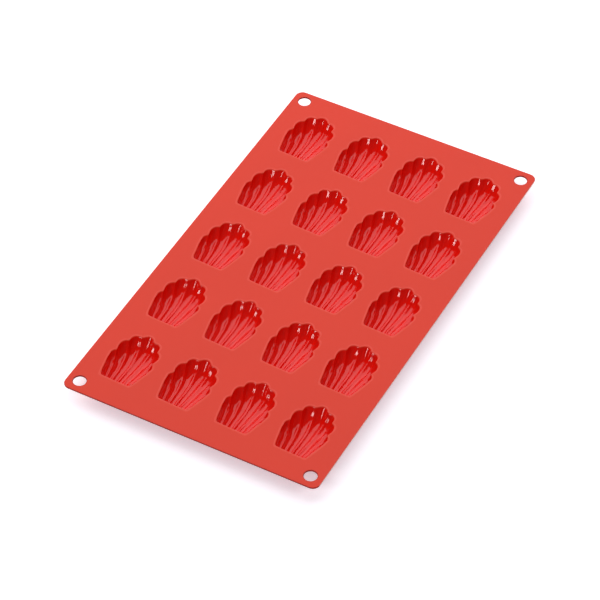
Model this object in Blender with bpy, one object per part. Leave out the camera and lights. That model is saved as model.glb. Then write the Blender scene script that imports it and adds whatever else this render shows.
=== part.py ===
"""Silicone baking mould for small shell-shaped cakes.

A thin flexible sheet, with a hanging hole in each corner, carries a grid of fluted shell cups.
The cups hang below the sheet, and the mould stands on the narrow flat land under each of them.
X runs across the sheet, Y along it towards the rounded ends of the shells, and Z up.
The origin is on the table, under the middle of the sheet.
"""

import math

import bmesh
import bpy
from mathutils import Matrix, Vector

MM = 0.001

# Sheet
SHEET_THICKNESS = 1.2 * MM
SHEET_CORNER_RADIUS = 5.0 * MM

# Flat margins from the shells' lips to the sheet's edges
NEAR_MARGIN = 18.5 * MM
FAR_MARGIN = 16.5 * MM
SIDE_MARGIN = 12.7 * MM

# Hanging holes
HOLE_DIAMETER = 8.2 * MM
HOLE_TO_EDGE = 4.1 * MM

# Grid of shells, with the flat web that is left between their lips
ROWS = 5
COLUMNS = 4
ROW_WEB = 15.0 * MM
COLUMN_WEB = 11.4 * MM
SHELL_TURN = math.radians(-2.0)

# One shell, measured inside
SHELL_LENGTH = 41.0 * MM
SHELL_WIDTH = 28.6 * MM
SHELL_DEPTH = 9.4 * MM
END_WALL_DRAFT = math.radians(15.0)

# Walls and the running gap between a cup's collar and the sheet
CUP_WALL = 1.1 * MM
FLOOR_WALL = 1.2 * MM
COLLAR_WIDTH = 1.1 * MM
CLEARANCE = 0.3 * MM

# The share of a flute's height that the underside doesn't show, because the wall fills it
FLUTE_SOFTENING = 0.3
# How blunt a flute is between two crests, at the lip and on the floor: 2 is a parabola
LIP_BLUNTNESS = 2.0
FLOOR_BLUNTNESS = 2.6

# The drawn shell: half its width, its length and its depth in mm, which the lists below share
DRAWN_SHELL = Vector((14.3, 41.0, 9.4))

# Cross-sections, from the lobed lip down the sloping wall and along the floor to the end wall
LIP, UPPER_WALL, LOWER_WALL, TOE, HEEL, FOOT = range(6)

# Places of the crests between flutes, one for each cross-section: across, along and deep, in mm.
# The foot's place along the shell comes from the end wall's slope.
INNER_CREST = ((4.15, 38.0, 0), (3.7, 34.1, 2.5), (3.0, 30.5, 5.2),
               (2.65, 24.9, 7.8), (1.75, 4.4, 7.4), (1.65, 0, 7.2))
MIDDLE_CREST = ((9.85, 32.2, 0), (9.1, 28.5, 2.4), (8.2, 23.9, 5.3),
                (7.2, 18.9, 7.1), (5.2, 4.0, 6.4), (4.9, 0, 6.2))
OUTER_CREST = ((12.5, 22.4, 0), (11.95, 19.5, 1.5), (11.3, 16.8, 3.2),
               (10.5, 14.1, 4.4), (8.4, 3.4, 4.8), (7.9, 0, 4.6))
SIDE_LIP = ((14.2, 16.7, 0), (13.95, 14.7, 0), (13.5, 12.4, 0),
            (12.9, 9.9, 0), (11.3, 3.3, 0), (9.3, 0, 0))
CRESTS = (INNER_CREST, MIDDLE_CREST, OUTER_CREST, SIDE_LIP)

# Places of the middle of each flute, from the middle flute outwards
MIDDLE_FLUTE = ((0, 41.0, 0), (0, 36.2, 4.7), (0, 32.0, 7.7),
                (0, 25.6, 9.4), (0, 4.4, 8.8), (0, 0, 8.6))
SECOND_FLUTE = ((8.9, 36.9, 0), (7.7, 32.8, 4.6), (6.3, 28.2, 7.6),
                (5.1, 22.3, 9.1), (3.5, 4.2, 8.25), (3.3, 0, 8.0))
THIRD_FLUTE = ((13.3, 29.0, 0), (12.1, 24.9, 3.9), (10.9, 20.9, 6.4),
               (9.5, 16.7, 7.7), (7.1, 3.7, 7.3), (6.7, 0, 7.0))
SIDE_FLUTE = ((14.3, 19.9, 0), (13.9, 17.3, 2.7), (13.2, 14.7, 3.9),
              (12.3, 12.0, 4.7), (10.3, 3.35, 4.7), (9.0, 0, 4.3))
FLUTES = (MIDDLE_FLUTE, SECOND_FLUTE, THIRD_FLUTE, SIDE_FLUTE)

# Steps across each flute, and the outermost place across the shell, counted in flutes
FLUTE_STEPS = 4
LAST_ACROSS = len(FLUTES) - 0.5

# Steps round a hole and round a sheet corner
HOLE_STEPS = 20
CORNER_STEPS = 6

# Silicone, a little glossier in the cups than on the sheet
SHEET_COLOUR = (0.62, 0.03, 0.02, 1.0)
CUP_COLOUR = (0.58, 0.01, 0.01, 1.0)
SHEET_ROUGHNESS = 0.4
CUP_ROUGHNESS = 0.2

# Sizes that follow from the ones above
ROW_PITCH = SHELL_LENGTH + ROW_WEB
COLUMN_PITCH = SHELL_WIDTH + COLUMN_WEB
SHEET_LENGTH = NEAR_MARGIN + ROWS * ROW_PITCH - ROW_WEB + FAR_MARGIN
SHEET_WIDTH = COLUMNS * COLUMN_PITCH - COLUMN_WEB + 2 * SIDE_MARGIN
GRID_SHIFT = (NEAR_MARGIN - FAR_MARGIN) / 2
STANDING_HEIGHT = SHELL_DEPTH + FLOOR_WALL


def clear_scene():
    for thing in list(bpy.data.objects):
        bpy.data.objects.remove(thing)


def silicone(name, colour, roughness):
    material = bpy.data.materials.new(name)
    material.use_nodes = True
    shader = material.node_tree.nodes["Principled BSDF"]
    shader.inputs["Base Color"].default_value = colour
    shader.inputs["Roughness"].default_value = roughness
    shader.inputs["Metallic"].default_value = 0.0
    return material


def end_wall_along(depth, wall_start):
    """How far along the shell the sloping end wall lies at a depth below the height where it starts."""
    return (depth - wall_start) * math.tan(END_WALL_DRAFT)


def drawn_point(places, section, side):
    """A listed place at the shell's real size, with Z up from the lip and X on the given side."""
    across, along, deep = places[section]
    half_width = SHELL_WIDTH / 2 / DRAWN_SHELL.x
    depth = deep * SHELL_DEPTH / DRAWN_SHELL.z
    along = end_wall_along(depth, 0) if section == FOOT else along * SHELL_LENGTH / DRAWN_SHELL.y
    return Vector((side * across * half_width, along, -depth))


def side_of(across):
    return -1 if across < 0 else 1


def crest_point(section, across):
    """The crest at a half-flute place across the shell, such as -1.5."""
    return drawn_point(CRESTS[int(abs(across))], section, side_of(across))


def flute_parts(section, flute):
    """The crests on each side of a flute, and how far its middle stands out from between them."""
    left = crest_point(section, flute - 0.5)
    right = crest_point(section, flute + 0.5)
    middle = drawn_point(FLUTES[abs(flute)], section, side_of(flute))
    return left, right, middle - (left + right) / 2


def flute_of(across):
    last = len(FLUTES) - 1
    return max(-last, min(last, round(across)))


def flute_profile(section, step):
    """How full the flute is at a place from -1 to 1 between its crests."""
    bluntness = LIP_BLUNTNESS if section == LIP else FLOOR_BLUNTNESS
    return 1 - abs(step) ** bluntness


def on_flute(section, across, left, right, bulge):
    step = 2 * (across - flute_of(across))
    return (left + right) / 2 + (right - left) / 2 * step + bulge * flute_profile(section, step)


def inner_point(section, across):
    return on_flute(section, across, *flute_parts(section, flute_of(across)))


def outer_crest(section, across, collar):
    """The underside's groove behind a crest, or the collar's lower edge at the shell's sides."""
    if abs(across) == LAST_ACROSS:
        return collar[(section, across)]
    beside = [flute_parts(section, math.floor(across) + one)[2] for one in (0, 1)]
    height = sum(bulge.length for bulge in beside) / len(beside)
    outward = (beside[0].normalized() + beside[1].normalized()).normalized()
    return crest_point(section, across) + outward * (CUP_WALL + FLUTE_SOFTENING * height)


def outer_point(section, across, collar):
    """A place on the underside, a wall's thickness out from the inner surface."""
    if section == LIP or abs(across) == LAST_ACROSS:
        return collar[(section, across)]
    flute = flute_of(across)
    left, right, bulge = flute_parts(section, flute)
    middle = (left + right) / 2 + bulge + bulge.normalized() * CUP_WALL
    left = outer_crest(section, flute - 0.5, collar)
    right = outer_crest(section, flute + 0.5, collar)
    point = on_flute(section, across, left, right, middle - (left + right) / 2)
    if section in (TOE, HEEL) and abs(across) <= 1 / FLUTE_STEPS:
        point.z = -STANDING_HEIGHT
    if section == FOOT:
        point.y = end_wall_along(-point.z, SHEET_THICKNESS) - COLLAR_WIDTH
    return point


def places_across():
    steps = FLUTE_STEPS * (2 * len(FLUTES) - 1)
    return [-LAST_ACROSS + count / FLUTE_STEPS for count in range(steps + 1)]


def lip_places():
    """The places round the lip, clockwise from above: over the lobes, down one side and up the other."""
    sides = range(UPPER_WALL, FOOT + 1)
    over_lobes = [(LIP, across) for across in places_across()]
    down = [(section, LAST_ACROSS) for section in sides]
    up = [(section, -LAST_ACROSS) for section in reversed(sides)]
    return over_lobes + down + up


def lip_outline(grown):
    """The lip in plan, grown outwards by a width that stays even round its lobes and notches."""
    points = [inner_point(*place).xy for place in lip_places()]
    outline = []
    for index, point in enumerate(points):
        before = (point - points[index - 1]).normalized()
        after = (points[(index + 1) % len(points)] - point).normalized()
        out_before = Vector((-before.y, before.x))
        out_after = Vector((-after.y, after.x))
        outward = (out_before + out_after).normalized()
        outline.append(point + outward * (grown / outward.dot(out_after)))
    return outline


def surface_rows(mesh, point_at):
    rows = []
    for section in range(LIP, FOOT + 1):
        rows.append([mesh.verts.new(point_at(section, across)) for across in places_across()])
    return rows


def fill_surface(mesh, rows):
    for upper, lower in zip(rows, rows[1:]):
        for column in range(len(upper) - 1):
            mesh.faces.new((upper[column], upper[column + 1], lower[column + 1], lower[column]))
    mesh.faces.new(rows[FOOT])


def edge_of(rows):
    """The vertices round a surface's open edge, in the order of lip_places."""
    down = [rows[section][-1] for section in range(UPPER_WALL, FOOT + 1)]
    up = [rows[section][0] for section in range(FOOT, LIP, -1)]
    return rows[LIP] + down + up


def join_rings(mesh, first, second):
    for index in range(len(first)):
        after = (index + 1) % len(first)
        mesh.faces.new((first[index], first[after], second[after], second[index]))


def shell_cup_mesh(material):
    """One cup, lofted through its cross-sections, with the middle of the end wall's lip at its origin."""
    collar_outline = lip_outline(COLLAR_WIDTH)
    collar = {place: Vector((point.x, point.y, -SHEET_THICKNESS))
              for place, point in zip(lip_places(), collar_outline)}
    mesh = bmesh.new()
    inside = surface_rows(mesh, inner_point)
    underside = surface_rows(mesh, lambda section, across: outer_point(section, across, collar))
    fill_surface(mesh, inside)
    fill_surface(mesh, underside)
    collar_top = [mesh.verts.new((point.x, point.y, 0)) for point in collar_outline]
    join_rings(mesh, edge_of(inside), collar_top)
    join_rings(mesh, collar_top, edge_of(underside))
    bmesh.ops.recalc_face_normals(mesh, faces=mesh.faces)
    data = bpy.data.meshes.new("shell_cup")
    mesh.to_mesh(data)
    mesh.free()
    data.shade_smooth()
    data.set_sharp_from_angle(angle=math.radians(50))
    data.materials.append(material)
    return data


def shell_places():
    """Each shell's row and column, counted from the near left corner, with the place of its origin."""
    half_shell = Matrix.Rotation(SHELL_TURN, 2) @ Vector((0, SHELL_LENGTH / 2))
    for row in range(ROWS):
        for column in range(COLUMNS):
            centre = Vector(((column - (COLUMNS - 1) / 2) * COLUMN_PITCH,
                             (row - (ROWS - 1) / 2) * ROW_PITCH + GRID_SHIFT))
            yield row + 1, column + 1, centre - half_shell


def add_loop(curve, points):
    spline = curve.splines.new("POLY")
    spline.points.add(len(points) - 1)
    for target, point in zip(spline.points, points):
        target.co = (point.x, point.y, 0, 1)
    spline.use_cyclic_u = True


def arc(centre, radius, start, sweep, steps):
    angles = [start + sweep * step / steps for step in range(steps + 1)]
    return [centre + radius * Vector((math.cos(angle), math.sin(angle))) for angle in angles]


def corner_centres(inset):
    """The four points at a distance in from both edges, anticlockwise from the far right corner."""
    x, y = SHEET_WIDTH / 2 - inset, SHEET_LENGTH / 2 - inset
    return [Vector(corner) for corner in ((x, y), (-x, y), (-x, -y), (x, -y))]


def sheet_outline():
    outline = []
    for quarter, centre in enumerate(corner_centres(SHEET_CORNER_RADIUS)):
        start = quarter * math.pi / 2
        outline += arc(centre, SHEET_CORNER_RADIUS, start, math.pi / 2, CORNER_STEPS)
    return outline


def add_sheet(collection, frame, material):
    curve = bpy.data.curves.new("mould_sheet", "CURVE")
    curve.dimensions = "2D"
    curve.fill_mode = "BOTH"
    curve.extrude = SHEET_THICKNESS / 2
    add_loop(curve, sheet_outline())
    for centre in corner_centres(HOLE_TO_EDGE + HOLE_DIAMETER / 2):
        circle = arc(centre, HOLE_DIAMETER / 2, 0, 2 * math.pi, HOLE_STEPS)
        add_loop(curve, circle[:-1])
    cutout = lip_outline(COLLAR_WIDTH + CLEARANCE)
    turn = Matrix.Rotation(SHELL_TURN, 2)
    for _, _, place in shell_places():
        add_loop(curve, [place + turn @ point for point in cutout])
    curve.materials.append(material)
    sheet = bpy.data.objects.new("mould_sheet", curve)
    sheet.location.z = -SHEET_THICKNESS / 2
    sheet.parent = frame
    collection.objects.link(sheet)


def add_cups(collection, frame, material):
    data = shell_cup_mesh(material)
    for row, column, place in shell_places():
        cup = bpy.data.objects.new(f"shell_cup_r{row}_c{column}", data)
        cup.location = (place.x, place.y, 0)
        cup.rotation_euler.z = SHELL_TURN
        cup.parent = frame
        collection.objects.link(cup)


def main():
    clear_scene()
    collection = bpy.data.collections.new("silicone_shell_mould")
    bpy.context.scene.collection.children.link(collection)
    frame = bpy.data.objects.new("sheet_top_centre", None)
    frame.location.z = STANDING_HEIGHT
    collection.objects.link(frame)
    add_sheet(collection, frame, silicone("sheet_silicone", SHEET_COLOUR, SHEET_ROUGHNESS))
    add_cups(collection, frame, silicone("cup_silicone", CUP_COLOUR, CUP_ROUGHNESS))


main()
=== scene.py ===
"""Dressing for a red silicone mould for small shell cakes.

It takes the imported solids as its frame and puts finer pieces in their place: the satin sheet with
its rounded edges and hanging holes, and one glossy fluted cup for each shell. All lengths are in
metres.
"""

import functools
import math

import bmesh
import bpy
from bpy.props import FloatProperty, FloatVectorProperty, IntProperty, PointerProperty
from mathutils import Matrix, Vector


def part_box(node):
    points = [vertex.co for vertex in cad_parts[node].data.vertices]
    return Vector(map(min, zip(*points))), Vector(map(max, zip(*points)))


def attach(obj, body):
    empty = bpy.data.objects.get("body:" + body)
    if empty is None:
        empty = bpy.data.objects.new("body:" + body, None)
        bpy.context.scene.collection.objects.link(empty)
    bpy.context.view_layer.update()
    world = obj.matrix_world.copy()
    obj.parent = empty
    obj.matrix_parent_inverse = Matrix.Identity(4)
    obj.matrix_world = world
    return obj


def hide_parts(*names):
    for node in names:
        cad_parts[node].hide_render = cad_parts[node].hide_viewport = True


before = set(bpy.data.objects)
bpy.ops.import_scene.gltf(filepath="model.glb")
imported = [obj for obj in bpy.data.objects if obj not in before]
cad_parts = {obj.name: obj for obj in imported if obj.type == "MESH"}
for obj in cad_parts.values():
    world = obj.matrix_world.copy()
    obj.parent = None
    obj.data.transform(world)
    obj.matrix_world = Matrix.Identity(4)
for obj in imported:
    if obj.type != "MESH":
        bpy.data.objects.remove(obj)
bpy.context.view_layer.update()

bl_info = {
    "name": "Shell Cake Mould",
    "version": (1, 0, 0),
    "blender": (4, 5, 0),
    "location": "3D View > Sidebar > Mould",
    "description": "Builds a silicone mould for shell cakes, its silicone and a small studio",
    "category": "Add Mesh",
}

MM = 0.001
BODY = "root"

SHEET_NODE = "mould_sheet"
CUP_NODES = sorted(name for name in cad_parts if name.startswith("shell_cup"))
SHEET_LOW, SHEET_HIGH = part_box(SHEET_NODE)
SHEET_TOP = SHEET_HIGH.z
SHEET_THICKNESS = SHEET_HIGH.z - SHEET_LOW.z
SAME_PLACE = 0.001 * MM

# Cross-sections of a shell, as places from its lobed lip at 0 down to the heel of its floor
SECTIONS = (0.0, 0.13, 0.26, 0.44, 0.90)
TOE, HEEL = SECTIONS[-2:]
# Where the rounded corner between the floor and the end wall ends, and the end wall's lip
WALL_FOOT = 1.0
WALL_LIP = 1.1

# Crests between flutes, from the middle outwards, in mm: across, along from the end wall, and deep
CRESTS = (
    ((4.15, 38.0, 0), (3.75, 35.7, 3.1), (3.6, 33.0, 5.8), (2.9, 26.5, 8.3), (1.75, 4.4, 7.9)),
    ((9.85, 32.2, 0), (9.35, 30.1, 2.9), (8.6, 27.0, 5.7), (7.4, 20.6, 7.4), (5.3, 4.0, 7.2)),
    ((12.5, 22.4, 0), (12.0, 20.2, 1.8), (11.3, 17.8, 3.6), (10.3, 14.6, 4.9), (7.9, 3.6, 5.4)),
    ((14.2, 16.7, 0), (13.95, 14.7, 0), (13.5, 12.4, 0), (12.9, 9.9, 0), (11.3, 3.3, 0)),
)
# The middle of each flute, from the middle flute outwards
FLUTES = (
    ((0, 41.0, 0), (0, 37.1, 4.6), (0, 33.4, 7.8), (0, 26.8, 9.4), (0, 4.4, 8.8)),
    ((8.9, 36.9, 0), (7.9, 33.4, 4.7), (6.7, 29.5, 7.7), (5.3, 23.4, 8.9), (3.55, 4.2, 8.35)),
    ((13.3, 29.0, 0), (12.3, 25.8, 4.0), (11.1, 22.3, 6.5), (9.3, 17.6, 7.3), (6.75, 3.8, 7.1)),
    ((14.3, 19.9, 0), (13.95, 17.4, 2.7), (13.2, 15.0, 3.8), (12.15, 12.2, 4.35), (9.95, 3.4, 4.3)),
)
LAST_FLUTE = len(FLUTES) - 1
LAST_ACROSS = LAST_FLUTE + 0.5
# The shell that the lists above draw: half its width, its length and its depth
DRAWN_SHELL = (14.3, 41.0, 9.4)
# Half the end wall's lip on that shell
HALF_END = 9.3


def colour_property(name, description, default):
    return FloatVectorProperty(name=name, description=description, subtype="COLOR",
                               default=default, min=0, max=1)


def length_property(name, description, default):
    return FloatProperty(name=name, description=description, unit="LENGTH", default=default)


def angle_property(name, description, degrees):
    return FloatProperty(name=name, description=description, subtype="ANGLE",
                         default=math.radians(degrees))


def count_property(name, description, default):
    return IntProperty(name=name, description=description, default=default, min=1)


def share_property(name, description, default):
    return FloatProperty(name=name, description=description, default=default, min=0)


class MouldSheetSettings(bpy.types.PropertyGroup):
    corner_radius: length_property("Corner radius", "Radius of the sheet's corners", 5.0 * MM)
    hole_diameter: length_property("Hole diameter", "Hanging hole in each corner", 8.2 * MM)
    hole_inset: length_property("Hole inset", "From the edges to a hole's centre", 8.2 * MM)
    edge_rounding: length_property("Edge rounding", "Radius of the moulded edges", 0.3 * MM)
    corner_steps: count_property("Corner steps", "Faces round a corner", 16)
    hole_steps: count_property("Hole steps", "Faces round a hole", 56)


class ShellCupSettings(bpy.types.PropertyGroup):
    length: length_property("Length", "Inside length of a shell at its lip", 41.0 * MM)
    width: length_property("Width", "Inside width of a shell at its lip", 28.6 * MM)
    depth: length_property("Depth", "Inside depth of the middle flute", 9.4 * MM)
    turn: angle_property("Turn", "How far each shell is turned in its place", -2.0)
    draft: angle_property("Draft", "Slope of the flat end wall", 15.0)
    wall: length_property("Wall", "Thickness of the fluted wall", 1.1 * MM)
    end_corner: length_property("End corner", "Radius between floor and end wall", 2.0 * MM)
    collar: length_property("Collar", "Flat rim that meets the sheet", 1.2 * MM)
    land_width: share_property("Land width", "Flat land under the middle flute, in flutes", 0.22)
    flute_steps: count_property("Flute steps", "Faces across a flute", 16)
    wall_steps: count_property("Wall steps", "Faces down the far wall", 22)
    floor_steps: count_property("Floor steps", "Faces along the floor", 16)
    corner_steps: count_property("Corner steps", "Faces round the heel and up the end wall", 5)


class SiliconeSettings(bpy.types.PropertyGroup):
    sheet_colour: colour_property("Sheet colour", "Satin top of the sheet", (0.70, 0.03, 0.007))
    cup_colour: colour_property("Cup colour", "Glossy inside of the shells", (0.76, 0.006, 0.002))
    lip_fade: length_property("Lip fade", "Depth by which the shells are glossy", 0.7 * MM)
    # Below the edge fade, the sheet's edges take their painted shade and painted sheen
    edge_fade: length_property("Edge fade", "Depth by which an edge has its own colour", 0.12 * MM)
    # Painted shade on the walls of the holes and the short edges, and on the top round each hole
    edge_shade_colour: colour_property("Edge colour", "Holes and short edges", (0.42, 0.02, 0.012))
    # A painted sheen along both long edges
    side_sheen_colour: colour_property("Side colour", "Paler long edges", (1.0, 0.50, 0.44))
    # A band of painted shade on the top round each hole
    ring: length_property("Ring", "Width of the darker ring round a hole", 0.6 * MM)
    sheet_roughness: share_property("Sheet roughness", "Satin finish of the sheet", 0.42)
    cup_roughness: share_property("Cup roughness", "Gloss of the shells", 0.08)
    # A painted highlight: the rim round each shell is made paler
    rim_highlight_level: share_property("Rim level", "How much paler the rim round a shell is", 1.06)
    sheet_ior: share_property("Sheet index", "Index of refraction of the sheet", 1.34)
    cup_ior: share_property("Cup index", "Index of refraction of the shells", 1.45)


class StudioSettings(bpy.types.PropertyGroup):
    floor_colour: colour_property("Floor colour", "Pale table", (0.80, 0.79, 0.81))
    lens: FloatProperty(name="Lens", default=178.64, description="Focal length in mm")
    azimuth: angle_property("Azimuth", "Camera, round from the near edge", 28.491)
    elevation: angle_property("Elevation", "Camera, above the table", 45.954)
    distance: length_property("Distance", "From the camera to what it looks at", 1.8349)
    aim_x: length_property("Aim across", "Where the camera looks, across the sheet", 5.405 * MM)
    aim_y: length_property("Aim along", "Where the camera looks, along the sheet", -19.535 * MM)


class MouldSettings(bpy.types.PropertyGroup):
    sheet: PointerProperty(type=MouldSheetSettings)
    cup: PointerProperty(type=ShellCupSettings)
    silicone: PointerProperty(type=SiliconeSettings)
    studio: PointerProperty(type=StudioSettings)


class Value:
    """A node's output that takes part in sums, such as 1 - a or a * 2."""

    def __init__(self, shader, socket):
        self.shader = shader
        self.socket = socket

    def maths(self, operation, first, second):
        return self.shader.node("ShaderNodeMath", {"operation": operation}, {0: first, 1: second})

    def __add__(self, other):
        return self.maths("ADD", self, other)

    def __sub__(self, other):
        return self.maths("SUBTRACT", self, other)

    def __rsub__(self, other):
        return self.maths("SUBTRACT", other, self)

    def __mul__(self, other):
        return self.maths("MULTIPLY", self, other)

    __radd__ = __add__
    __rmul__ = __mul__


class Shader:
    """A node tree, emptied, with one way to add a node to it."""

    def __init__(self, tree):
        self.tree = tree
        tree.nodes.clear()

    def node(self, kind, settings=None, sockets=None, output=0):
        made = self.tree.nodes.new(kind)
        for name, value in (settings or {}).items():
            setattr(made, name, value)
        for name, value in (sockets or {}).items():
            if isinstance(value, Value):
                self.tree.links.new(value.socket, made.inputs[name])
            else:
                made.inputs[name].default_value = value
        return Value(self, made.outputs[output]) if made.outputs else None

    def place(self):
        return self.node("ShaderNodeTexCoord", output="Object")

    def noise(self, place, size):
        """Cloudy noise from 0 to 1 whose patches are about the given size across."""
        return self.node("ShaderNodeTexNoise", sockets={
            "Vector": place, "Scale": 1 / size, "Detail": 2.0})

    def smooth_step(self, value, start, end):
        return self.node("ShaderNodeMapRange", {"interpolation_type": "SMOOTHSTEP"}, {
            "Value": value, "From Min": start, "From Max": end})

    def blend(self, share, first, second):
        return self.node("ShaderNodeMix", {"data_type": "RGBA"}, {0: share, 6: first, 7: second},
                         output=2)


def rgba(colour, brightness=1.0):
    return (*(part * brightness for part in colour[:3]), 1.0)


def hole_shade_mask(shader, place, sheet, width):
    """A mask of painted shade round the holes: 1 at the edge of the nearest hole and 0 from the given
    width away.
    """
    full_share = 0.25
    centre = corner_centres(sheet.hole_inset)[0]
    folded = shader.node("ShaderNodeVectorMath", {"operation": "ABSOLUTE"}, {0: place})
    aside = shader.node("ShaderNodeVectorMath", {"operation": "SUBTRACT"}, {0: folded, 1: centre})
    flat = shader.node("ShaderNodeVectorMath", {"operation": "MULTIPLY"}, {0: aside, 1: (1, 1, 0)})
    away = shader.node("ShaderNodeVectorMath", {"operation": "LENGTH"}, {0: flat}, output="Value")
    radius = sheet.hole_diameter / 2
    return 1 - shader.smooth_step(away, radius + full_share * width, radius + width)


def silicone_material(name, finish, wall_colour, deep_roughness, ior, fade, level=1.0):
    """Moulded silicone: satin level with the sheet's top, and of the given finish below the fade.

    The level is the brightness of the satin colour; on the shells it is above 1 and paints a highlight
    on the rim round each shell.
    On the sheet, the wall colour is painted shade on the holes' walls and short edges, and the long
    edges get a painted sheen.
    """
    cloud_size, mottle_size, grain_size = 55 * MM, 3 * MM, 0.25 * MM
    cloud_contrast, gloss_variation = 0.04, 0.06
    grain_height, grain_strength, grain_in_shells = 0.06 * MM, 0.25, 0.1
    flat_from = SHEET_TOP - fade / 5
    side_from, side_to = SHEET_HIGH.x - 0.3 * MM, SHEET_HIGH.x - 0.12 * MM
    underside_band = 0.1 * MM

    material = bpy.data.materials.new(name)
    material.use_nodes = True
    shader = Shader(material.node_tree)
    place = shader.place()
    across, height = (shader.node("ShaderNodeSeparateXYZ", sockets={0: place}, output=axis)
                      for axis in "XZ")
    flat = shader.smooth_step(height, SHEET_TOP - fade, flat_from)
    above_underside = shader.smooth_step(height, SHEET_LOW.z, SHEET_LOW.z + underside_band)
    from_middle = shader.node("ShaderNodeMath", {"operation": "ABSOLUTE"}, {0: across})
    # The long edges get a painted sheen in the side colour; on the sheet the wall colour of the other
    # edges is painted shade
    long_side_sheen = shader.smooth_step(from_middle, side_from, side_to)
    wall = shader.blend(long_side_sheen, rgba(wall_colour), rgba(finish.side_sheen_colour))
    deep = shader.blend(above_underside, rgba(finish.cup_colour), wall)
    clouds = shader.noise(place, cloud_size)
    mottle = shader.noise(place, mottle_size)
    grain = shader.noise(place, grain_size)
    # On the shells a level above 1 paints a highlight on the rim
    satin = shader.blend(clouds, rgba(finish.sheet_colour, (1 - cloud_contrast) * level),
                         rgba(finish.sheet_colour, (1 + cloud_contrast) * level))
    # A band of painted shade on the top round each hole, in the edge colour
    ring = hole_shade_mask(shader, place, bpy.context.scene.shell_mould.sheet, finish.ring)
    top = shader.blend(ring, satin, rgba(finish.edge_shade_colour))
    tint = shader.blend(flat, deep, top)
    rough = deep_roughness + flat * (finish.sheet_roughness - deep_roughness)
    relief = grain * (flat * (1 - grain_in_shells) + grain_in_shells)
    normal = shader.node("ShaderNodeBump", sockets={
        "Height": relief, "Strength": grain_strength, "Distance": grain_height})
    surface = shader.node("ShaderNodeBsdfPrincipled", sockets={
        "Base Color": tint, "Roughness": rough + (mottle - 0.5) * gloss_variation,
        "Normal": normal, "IOR": ior})
    shader.node("ShaderNodeOutputMaterial", sockets={"Surface": surface})
    return material


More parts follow.
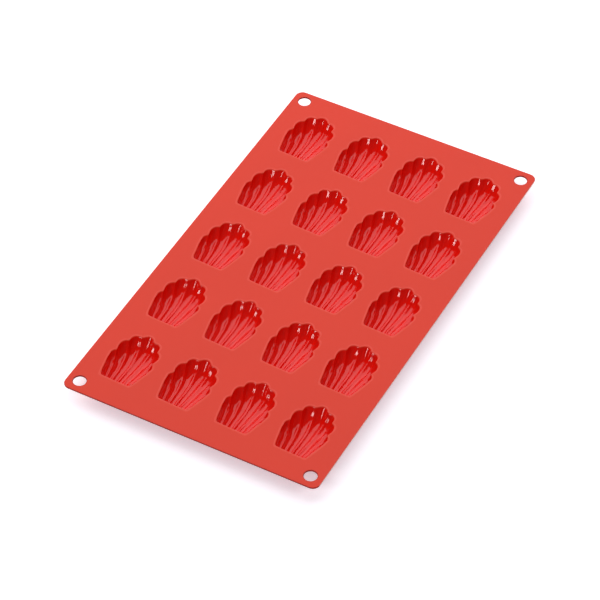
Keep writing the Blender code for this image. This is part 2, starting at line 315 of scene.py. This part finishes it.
class ShellForm:
    """The shape of one face of a shell: the inside, or the underside, which lies a wall out."""

    # The share of a flute's height that the wall fills in behind a crest
    CREST_SOFTENING = 0.3
    # The width of the crest between two flutes, as a share of a flute's
    LIP_CREST_BAND = 0.06
    FLOOR_CREST_BAND = 0.18
    # Exponents of a flute's section between its crests; a higher bluntness gives a flatter flute
    LIP_ROUNDNESS = 0.75
    FLOOR_BLUNTNESS = 2.6
    UNDERSIDE_BLUNTNESS = 2.2

    def __init__(self, cup, wall=0.0):
        self.scale = (cup.width / 2 / DRAWN_SHELL[0], cup.length / DRAWN_SHELL[1],
                      cup.depth / DRAWN_SHELL[2])
        self.slope = math.tan(cup.draft)
        self.end_corner = cup.end_corner
        self.half_end = HALF_END * self.scale[0]
        self.wall = wall

    def real(self, point):
        """A listed place at the shell's real size, with Z up from the lip."""
        across, along, deep = (part * scale for part, scale in zip(point, self.scale))
        return Vector((across, along, -deep))

    def curve(self, places, down):
        """A smooth curve through a row of listed places, which allows for their uneven spacing."""
        points = [self.real(place) for place in places]
        last = len(points) - 1
        start = min(sum(down > section for section in SECTIONS[1:]), last - 1)

        def run(index):
            return (points[index + 1] - points[index]) / (SECTIONS[index + 1] - SECTIONS[index])

        def slope(index):
            if index in (0, last):
                return run(min(index, last - 1))
            before = SECTIONS[index] - SECTIONS[index - 1]
            after = SECTIONS[index + 1] - SECTIONS[index]
            return (run(index) * before + run(index - 1) * after) / (before + after)

        width = SECTIONS[start + 1] - SECTIONS[start]
        share = (down - SECTIONS[start]) / width
        square, cube = share ** 2, share ** 3
        ahead = 3 * square - 2 * cube
        bend = (cube - 2 * square + share) * slope(start) + (cube - square) * slope(start + 1)
        return (1 - ahead) * points[start] + ahead * points[start + 1] + width * bend

    @functools.cache
    def listed(self, across, down):
        """A crest at a half place across, or the middle of a flute at a whole one."""
        places = FLUTES[abs(across)] if across == int(across) else CRESTS[int(abs(across))]
        point = self.curve(places, down)
        return Vector((math.copysign(point.x, across), point.y, point.z))

    @functools.cache
    def rise(self, flute, down):
        """How far a flute's middle stands out from between its two crests."""
        crests = self.listed(flute - 0.5, down) + self.listed(flute + 0.5, down)
        return self.listed(flute, down) - crests / 2

    @functools.cache
    def crest(self, across, down):
        """A crest between flutes, or the softer groove behind it on the underside."""
        point = self.listed(across, down)
        if not self.wall or abs(across) == LAST_ACROSS:
            return point
        rises = [self.rise(math.floor(across) + one, down) for one in (0, 1)]
        outward = (rises[0].normalized() + rises[1].normalized()).normalized()
        height = (rises[0].length + rises[1].length) / 2
        return point + outward * (self.wall + self.CREST_SOFTENING * height)

    def fullness(self, step, down):
        """How far out a flute is at a place from -1 to 1 between its crests."""
        if self.wall:
            return 1 - abs(step) ** self.UNDERSIDE_BLUNTNESS
        floor_share = min(down / TOE, 1) ** 2
        band = self.LIP_CREST_BAND
        band += (self.FLOOR_CREST_BAND - self.LIP_CREST_BAND) * floor_share
        reach = min(abs(step) / (1 - band), 1)
        at_lip = (1 - reach ** 2) ** self.LIP_ROUNDNESS
        on_floor = 1 - reach ** self.FLOOR_BLUNTNESS
        return at_lip * (1 - floor_share) + on_floor * floor_share

    def fluted(self, across, down):
        flute = max(-LAST_FLUTE, min(LAST_FLUTE, round(across)))
        step = 2 * (across - flute)
        left, right = self.crest(flute - 0.5, down), self.crest(flute + 0.5, down)
        rise = self.rise(flute, down)
        middle = self.listed(flute, down) + rise.normalized() * self.wall
        between = (left + right) / 2
        bulge = (middle - between) * self.fullness(step, down)
        return between + (right - left) / 2 * step + bulge

    def end_wall(self, x, depth):
        return Vector((x, depth * self.slope - self.wall, -depth))

    def end_foot(self, across, corner):
        """Where the rounded corner passes into the end wall, drawn in a little at the sides."""
        drawn_from, drawn_in = 2.3, 1.2 * MM
        share = max(0.0, abs(across) - drawn_from) / (LAST_ACROSS - drawn_from)
        inwards = drawn_in * share ** 2 * (3 - 2 * share)
        depth = -corner.z - min(self.end_corner, -corner.z / 2)
        return self.end_wall(corner.x - math.copysign(inwards, across), depth)

    def point(self, across, down):
        if down <= HEEL:
            return self.fluted(across, down)
        nudge = 0.02
        heel = self.fluted(across, HEEL)
        run = heel - self.fluted(across, HEEL - nudge)
        gap = heel.y - self.end_wall(0, -heel.z).y
        corner = heel - run * (gap / (run.y + run.z * self.slope))
        foot = self.end_foot(across, corner)
        if down <= WALL_FOOT:
            share = (down - HEEL) / (WALL_FOOT - HEEL)
            return (1 - share) ** 2 * heel + 2 * share * (1 - share) * corner + share ** 2 * foot
        share = (down - WALL_FOOT) / (WALL_LIP - WALL_FOOT)
        return foot.lerp(self.end_wall(across / LAST_ACROSS * self.half_end, 0), share)


def steps_between(start, end, count):
    return [start + (end - start) * step / count for step in range(count)]


def places_down(cup):
    return (steps_between(0, TOE, cup.wall_steps) + steps_between(TOE, HEEL, cup.floor_steps)
            + steps_between(HEEL, WALL_FOOT, cup.corner_steps)
            + steps_between(WALL_FOOT, WALL_LIP, cup.corner_steps) + [WALL_LIP])


def places_across(cup):
    steps = cup.flute_steps * (2 * LAST_FLUTE + 1)
    return steps_between(-LAST_ACROSS, LAST_ACROSS, steps) + [LAST_ACROSS]


def collar_scale(cup):
    """How much larger than the lip the collar's outer edge is, about the shell's middle."""
    return Vector((1 + 2 * cup.collar / cup.width, 1 + 2 * cup.collar / cup.length, 1))


def shell_middle(cup):
    return Vector((0, cup.length / 2, 0))


def on_collar(point, cup):
    middle = shell_middle(cup)
    return middle + collar_scale(cup) * (point - middle)


def collar_outline(cup):
    """The collar's outer edge, in order round the shell from its first lobe."""
    inside = ShellForm(cup)
    across, down = places_across(cup), places_down(cup)
    places = [(place, 0.0) for place in across]
    places += [(LAST_ACROSS, place) for place in down[1:]]
    places += [(place, WALL_LIP) for place in reversed(across[:-1])]
    places += [(-LAST_ACROSS, place) for place in reversed(down[1:-1])]
    outline = []
    for place in places:
        point = on_collar(inside.point(*place), cup)
        if not outline or (point - outline[-1]).length > SAME_PLACE:
            outline.append(point)
    return outline


def deselect_all():
    if bpy.context.object and bpy.context.object.mode != "OBJECT":
        bpy.ops.object.mode_set(mode="OBJECT")
    bpy.ops.object.select_all(action="DESELECT")


def activate(piece):
    deselect_all()
    piece.select_set(True)
    bpy.context.view_layer.objects.active = piece


def edit_all(piece):
    """Puts the piece in edit mode with all of it selected."""
    activate(piece)
    bpy.ops.object.mode_set(mode="EDIT")
    bpy.ops.mesh.select_all(action="SELECT")


def edit_some(piece, kind, wanted):
    """Puts the piece in edit mode with the vertices or edges selected that are wanted."""
    activate(piece)
    bpy.ops.object.mode_set(mode="EDIT")
    bpy.ops.mesh.select_mode(type=kind)
    bpy.ops.mesh.select_all(action="DESELECT")
    mesh = bmesh.from_edit_mesh(piece.data)
    for element in mesh.verts if kind == "VERT" else mesh.edges:
        if wanted(element):
            element.select_set(True)
    mesh.select_flush_mode()
    bmesh.update_edit_mesh(piece.data)


def on_rim(vertex):
    return any(edge.is_boundary for edge in vertex.link_edges)


def add_grid(name, cup, place_of):
    """A flat grid, bent so that each crossing of its lines goes where place_of says."""
    across, down = places_across(cup), places_down(cup)
    deselect_all()
    bpy.ops.mesh.primitive_grid_add(x_subdivisions=len(across) - 1, y_subdivisions=len(down) - 1,
                                    size=2)
    piece = bpy.context.object
    piece.name = name
    for vertex in piece.data.vertices:
        column = round((vertex.co.x + 1) / 2 * (len(across) - 1))
        row = round((vertex.co.y + 1) / 2 * (len(down) - 1))
        vertex.co = place_of(across[column], down[row])
    return piece


def add_inside(cup):
    """The fluted inside, with its crests rounded and a flat collar round its softly rounded lip."""
    collar_rings = (0.2, 0.4, 0.65, 1.0)
    lip_band = -0.5 * MM
    piece = add_grid("shell_inside", cup, ShellForm(cup).point)
    edit_all(piece)
    bpy.ops.mesh.remove_doubles(threshold=SAME_PLACE)
    edit_some(piece, "VERT", lambda vertex: not on_rim(vertex))
    bpy.ops.mesh.vertices_smooth(factor=0.5, repeat=2)
    edit_some(piece, "EDGE", lambda edge: edge.is_boundary)
    unit, reached = Vector((1, 1, 1)), Vector((1, 1, 1))
    for share in collar_rings:
        wanted = unit.lerp(collar_scale(cup), share)
        bpy.ops.mesh.extrude_edges_move()
        bpy.ops.transform.resize(value=[new / old for new, old in zip(wanted, reached)],
                                 center_override=shell_middle(cup))
        reached = wanted
    edit_some(piece, "VERT", lambda vertex: vertex.co.z > lip_band and not on_rim(vertex))
    bpy.ops.mesh.vertices_smooth(factor=0.5, repeat=3)
    edit_some(piece, "EDGE", lambda edge: edge.is_boundary)
    bpy.ops.mesh.extrude_edges_move(TRANSFORM_OT_translate={"value": (0, 0, -SHEET_THICKNESS)})
    deselect_all()
    return piece


def add_underside(cup):
    """The softer fluted underside, with a flat land to stand on, as far as the collar's lower edge."""
    inside, outside = ShellForm(cup), ShellForm(cup, cup.wall)
    clear_of_sheet = 0.03 * MM
    below_sheet = -SHEET_THICKNESS - clear_of_sheet

    def place_of(across, down):
        if down in (0, WALL_LIP) or abs(across) == LAST_ACROSS:
            point = on_collar(inside.point(across, down), cup)
            return Vector((point.x, point.y, -SHEET_THICKNESS))
        point = outside.point(across, down)
        on_land = abs(across) <= cup.land_width and TOE <= down <= HEEL
        point.z = -SHEET_TOP if on_land else max(-SHEET_TOP, min(point.z, below_sheet))
        return point

    return add_grid("shell_underside", cup, place_of)


def model_cup(cup):
    """One cup, with the middle of the end wall's lip at its origin."""
    sharpest_smooth = math.radians(45)
    piece, underside = add_inside(cup), add_underside(cup)
    activate(piece)
    underside.select_set(True)
    bpy.ops.object.join()
    edit_all(piece)
    bpy.ops.mesh.remove_doubles(threshold=SAME_PLACE)
    bpy.ops.mesh.normals_make_consistent(inside=False)
    activate(piece)
    bpy.ops.object.shade_smooth_by_angle(angle=sharpest_smooth)
    return piece


def middle_of(points):
    xs, ys = [point.x for point in points], [point.y for point in points]
    return Vector(((min(xs) + max(xs)) / 2, (min(ys) + max(ys)) / 2, 0))


def cup_place(node, outline, cup):
    """The turn and shift that put a cup where its solid is."""
    turn = Matrix.Rotation(cup.turn, 4, "Z")
    shift = middle_of(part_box(node)) - middle_of([turn @ point for point in outline])
    return Matrix.Translation(shift + Vector((0, 0, SHEET_TOP))) @ turn


def finish_piece(piece, node, material):
    piece.data.materials.clear()
    piece.data.materials.append(material)
    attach(piece, BODY)
    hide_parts(node)


class MOULD_OT_add_shell_cups(bpy.types.Operator):
    """Add the glossy fluted cup of each shell"""

    bl_idname = "mould.add_shell_cups"
    bl_label = "Add Shell Cups"

    def execute(self, context):
        settings = context.scene.shell_mould
        cup, finish = settings.cup, settings.silicone
        pattern = model_cup(cup)
        outline = collar_outline(cup)
        # The level paints a highlight on the rim round each shell
        material = silicone_material("glossy_silicone", finish, finish.cup_colour,
                                     finish.cup_roughness, finish.cup_ior, finish.lip_fade,
                                     finish.rim_highlight_level)
        for node in CUP_NODES:
            name = node.replace("shell_cup", "fluted_cup")
            mesh = pattern.data.copy()
            mesh.transform(cup_place(node, outline, cup))
            piece = bpy.data.objects.new(name, mesh)
            context.scene.collection.objects.link(piece)
            finish_piece(piece, node, material)
        bpy.data.objects.remove(pattern)
        return {"FINISHED"}


def corner_centres(inset):
    """The four points at a distance in from both edges, anticlockwise from the far right corner."""
    x, y = SHEET_HIGH.x - inset, SHEET_HIGH.y - inset
    return [Vector(corner) for corner in ((x, y, 0), (-x, y, 0), (-x, -y, 0), (x, -y, 0))]


def arc(centre, radius, start, sweep, steps):
    angles = [start + sweep * step / steps for step in range(steps + 1)]
    return [centre + radius * Vector((math.cos(angle), math.sin(angle), 0)) for angle in angles]


def add_loop(curve, points):
    spline = curve.splines.new("POLY")
    spline.points.add(len(points) - 1)
    for target, point in zip(spline.points, points):
        target.co = (point.x, point.y, 0, 1)
    spline.use_cyclic_u = True


def sheet_curve(sheet, cup):
    """The sheet in plan, whose outer edge and holes are still short by the rounding of their edges."""
    curve = bpy.data.curves.new("sheet_outline", "CURVE")
    curve.dimensions = "2D"
    curve.fill_mode = "BOTH"
    curve.extrude = SHEET_THICKNESS / 2
    corner = sheet.corner_radius - sheet.edge_rounding
    outline = []
    for quarter, centre in enumerate(corner_centres(sheet.corner_radius)):
        outline += arc(centre, corner, quarter * math.pi / 2, math.pi / 2, sheet.corner_steps)
    add_loop(curve, outline)
    hole = sheet.hole_diameter / 2 + sheet.edge_rounding
    for centre in corner_centres(sheet.hole_inset):
        add_loop(curve, arc(centre, hole, 0, 2 * math.pi, sheet.hole_steps)[:-1])
    collar = collar_outline(cup)
    for node in CUP_NODES:
        place = cup_place(node, collar, cup)
        add_loop(curve, [place @ point for point in collar])
    return curve


def outwards(point, sheet):
    """The way out of the silicone at the outer edge or at a hole's edge, or None away from both."""
    reach = 0.1 * MM
    flat = Vector((point.x, point.y, 0))
    for centre in corner_centres(sheet.hole_inset):
        hole = sheet.hole_diameter / 2 + sheet.edge_rounding
        if abs((flat - centre).length - hole) < reach:
            return (centre - flat).normalized()
    core = corner_centres(sheet.corner_radius)[0]
    away = flat - Vector((max(-core.x, min(core.x, flat.x)), max(-core.y, min(core.y, flat.y)), 0))
    if away.length > sheet.corner_radius - sheet.edge_rounding - reach:
        return away.normalized()
    return None


def round_edges(piece, sheet):
    """Gives the edge walls rings of faces, and swells them to a rounded edge."""
    rounding = sheet.edge_rounding
    upper = [rounding * (1 - math.cos(math.radians(angle))) for angle in (0, 30, 60, 90)]
    depths = upper + [SHEET_THICKNESS / 2] + [SHEET_THICKNESS - depth for depth in reversed(upper)]
    rings = len(depths) - 1
    edit_some(piece, "EDGE", lambda edge: edge.verts[0].co.xy == edge.verts[1].co.xy
              and outwards(edge.verts[0].co, sheet))
    bpy.ops.mesh.subdivide(number_cuts=rings - 1, quadcorner="INNERVERT")
    deselect_all()
    for vertex in piece.data.vertices:
        way = outwards(vertex.co, sheet)
        if way:
            depth = depths[round((SHEET_TOP - vertex.co.z) / SHEET_THICKNESS * rings)]
            from_edge = min(depth, SHEET_THICKNESS - depth, rounding)
            vertex.co += way * math.sqrt(rounding ** 2 - (rounding - from_edge) ** 2)
            vertex.co.z = SHEET_TOP - depth


def shade_flats(piece):
    """Smooth shading everywhere but on the level faces."""
    level = 0.999
    for face in piece.data.polygons:
        face.use_smooth = abs(face.normal.z) < level


class MOULD_OT_add_sheet(bpy.types.Operator):
    """Add the flat sheet, with its rounded edges, its hanging holes and a place for each cup"""

    bl_idname = "mould.add_sheet"
    bl_label = "Add Sheet"

    def execute(self, context):
        settings = context.scene.shell_mould
        finish = settings.silicone
        piece = bpy.data.objects.new("satin_sheet", sheet_curve(settings.sheet, settings.cup))
        context.scene.collection.objects.link(piece)
        activate(piece)
        bpy.ops.object.convert(target="MESH")
        piece.data.transform(Matrix.Translation((0, 0, SHEET_TOP - SHEET_THICKNESS / 2)))
        edit_all(piece)
        bpy.ops.mesh.remove_doubles(threshold=SAME_PLACE)
        round_edges(piece, settings.sheet)
        edit_all(piece)
        bpy.ops.mesh.normals_make_consistent(inside=False)
        deselect_all()
        shade_flats(piece)
        # Painted shade on the holes' walls, the short edges and round each hole, and a painted sheen
        # on the long edges
        material = silicone_material("satin_silicone", finish, finish.edge_shade_colour,
                                     finish.sheet_roughness, finish.sheet_ior, finish.edge_fade)
        finish_piece(piece, SHEET_NODE, material)
        return {"FINISHED"}


def floor_material(studio):
    """A pale table that shows white to the camera wherever no shadow falls."""
    dark, glow_tint, glow_strength = (0, 0, 0), (0.97, 0.92, 1.0), 0.5
    material = bpy.data.materials.new("pale_table")
    material.use_nodes = True
    shader = Shader(material.node_tree)
    camera, glossy, through = (shader.node("ShaderNodeLightPath", output=ray) for ray in
                               ("Is Camera Ray", "Is Glossy Ray", "Is Transmission Ray"))
    glow = shader.blend(camera + glossy + through, rgba(dark), rgba(glow_tint))
    surface = shader.node("ShaderNodeBsdfPrincipled", sockets={
        "Base Color": rgba(studio.floor_colour), "Roughness": 0.9, "Specular IOR Level": 0.1,
        "Emission Color": glow, "Emission Strength": glow_strength})
    shader.node("ShaderNodeOutputMaterial", sockets={"Surface": surface})
    return material


def light_world():
    """A dim grey room that is white where the camera sees past the table."""
    dim, white = (0.05, 0.05, 0.052), (1, 1, 1)
    world = bpy.data.worlds.new("studio")
    world.use_nodes = True
    shader = Shader(world.node_tree)
    seen = shader.node("ShaderNodeLightPath", output="Is Camera Ray")
    colour = shader.blend(seen, rgba(dim), rgba(white))
    surface = shader.node("ShaderNodeBackground", sockets={"Color": colour})
    shader.node("ShaderNodeOutputWorld", sockets={"Surface": surface})
    bpy.context.scene.world = world


def add_lamp(name, direction, distance, width, height, level):
    """A soft box that faces the mould, whose level is its brightness and not its power."""
    towards = Vector(direction).normalized()
    deselect_all()
    bpy.ops.object.light_add(type="AREA", location=towards * distance,
                             rotation=towards.to_track_quat("Z", "Y").to_euler())
    lamp = bpy.context.object
    lamp.name = name
    lamp.data.shape = "RECTANGLE"
    lamp.data.size, lamp.data.size_y = width, height
    lamp.data.energy = level * math.pi * width * height
    return lamp


def add_camera(studio):
    aim = Vector((studio.aim_x, studio.aim_y, SHEET_TOP))
    level = math.cos(studio.elevation)
    back = Vector((level * math.sin(studio.azimuth), -level * math.cos(studio.azimuth),
                   math.sin(studio.elevation)))
    deselect_all()
    bpy.ops.object.camera_add(location=aim + back * studio.distance,
                              rotation=back.to_track_quat("Z", "Y").to_euler())
    camera = bpy.context.object
    camera.data.lens = studio.lens
    bpy.context.scene.camera = camera


class MOULD_OT_add_stage(bpy.types.Operator):
    """Add the table, the soft lights and the camera"""

    bl_idname = "mould.add_stage"
    bl_label = "Add Studio"

    def execute(self, context):
        studio = context.scene.shell_mould.studio
        table_size, table_top = 2.6, -0.05 * MM
        deselect_all()
        bpy.ops.mesh.primitive_plane_add(size=table_size, location=(0, 0, table_top))
        floor = context.object
        floor.name = "pale_table"
        floor.data.materials.append(floor_material(studio))
        light_world()
        add_lamp("window_box", direction=(-0.38, 0.42, 0.82), distance=1.2, width=2.6, height=2.1,
                 level=1.75)
        # A small far lamp that draws the bright streaks down the far walls of the shells
        add_lamp("streak_box", direction=(-0.37, -0.80, 0.47), distance=2.8, width=0.40,
                 height=0.56, level=13.0)
        fill = add_lamp("fill_box", direction=(0.60, -0.45, 0.66), distance=1.6, width=2.0,
                        height=2.0, level=0.55)
        fill.visible_glossy = False
        add_camera(studio)
        context.scene.view_settings.view_transform = "Standard"
        return {"FINISHED"}


class MOULD_PT_sidebar(bpy.types.Panel):
    """The buttons for the mould's pieces and its studio"""

    bl_idname = "MOULD_PT_sidebar"
    bl_label = "Shell Cake Mould"
    bl_space_type = "VIEW_3D"
    bl_region_type = "UI"
    bl_category = "Mould"

    def draw(self, context):
        for operator in OPERATORS:
            self.layout.operator(operator.bl_idname)


OPERATORS = (MOULD_OT_add_shell_cups, MOULD_OT_add_sheet, MOULD_OT_add_stage)
CLASSES = (MouldSheetSettings, ShellCupSettings, SiliconeSettings, StudioSettings, MouldSettings,
           *OPERATORS, MOULD_PT_sidebar)


def register():
    for item in CLASSES:
        bpy.utils.register_class(item)
    bpy.types.Scene.shell_mould = PointerProperty(type=MouldSettings)


def unregister():
    del bpy.types.Scene.shell_mould
    for item in reversed(CLASSES):
        bpy.utils.unregister_class(item)


def main():
    register()
    bpy.ops.mould.add_shell_cups()
    bpy.ops.mould.add_sheet()
    bpy.ops.mould.add_stage()


if __name__ == "__main__":
    main()
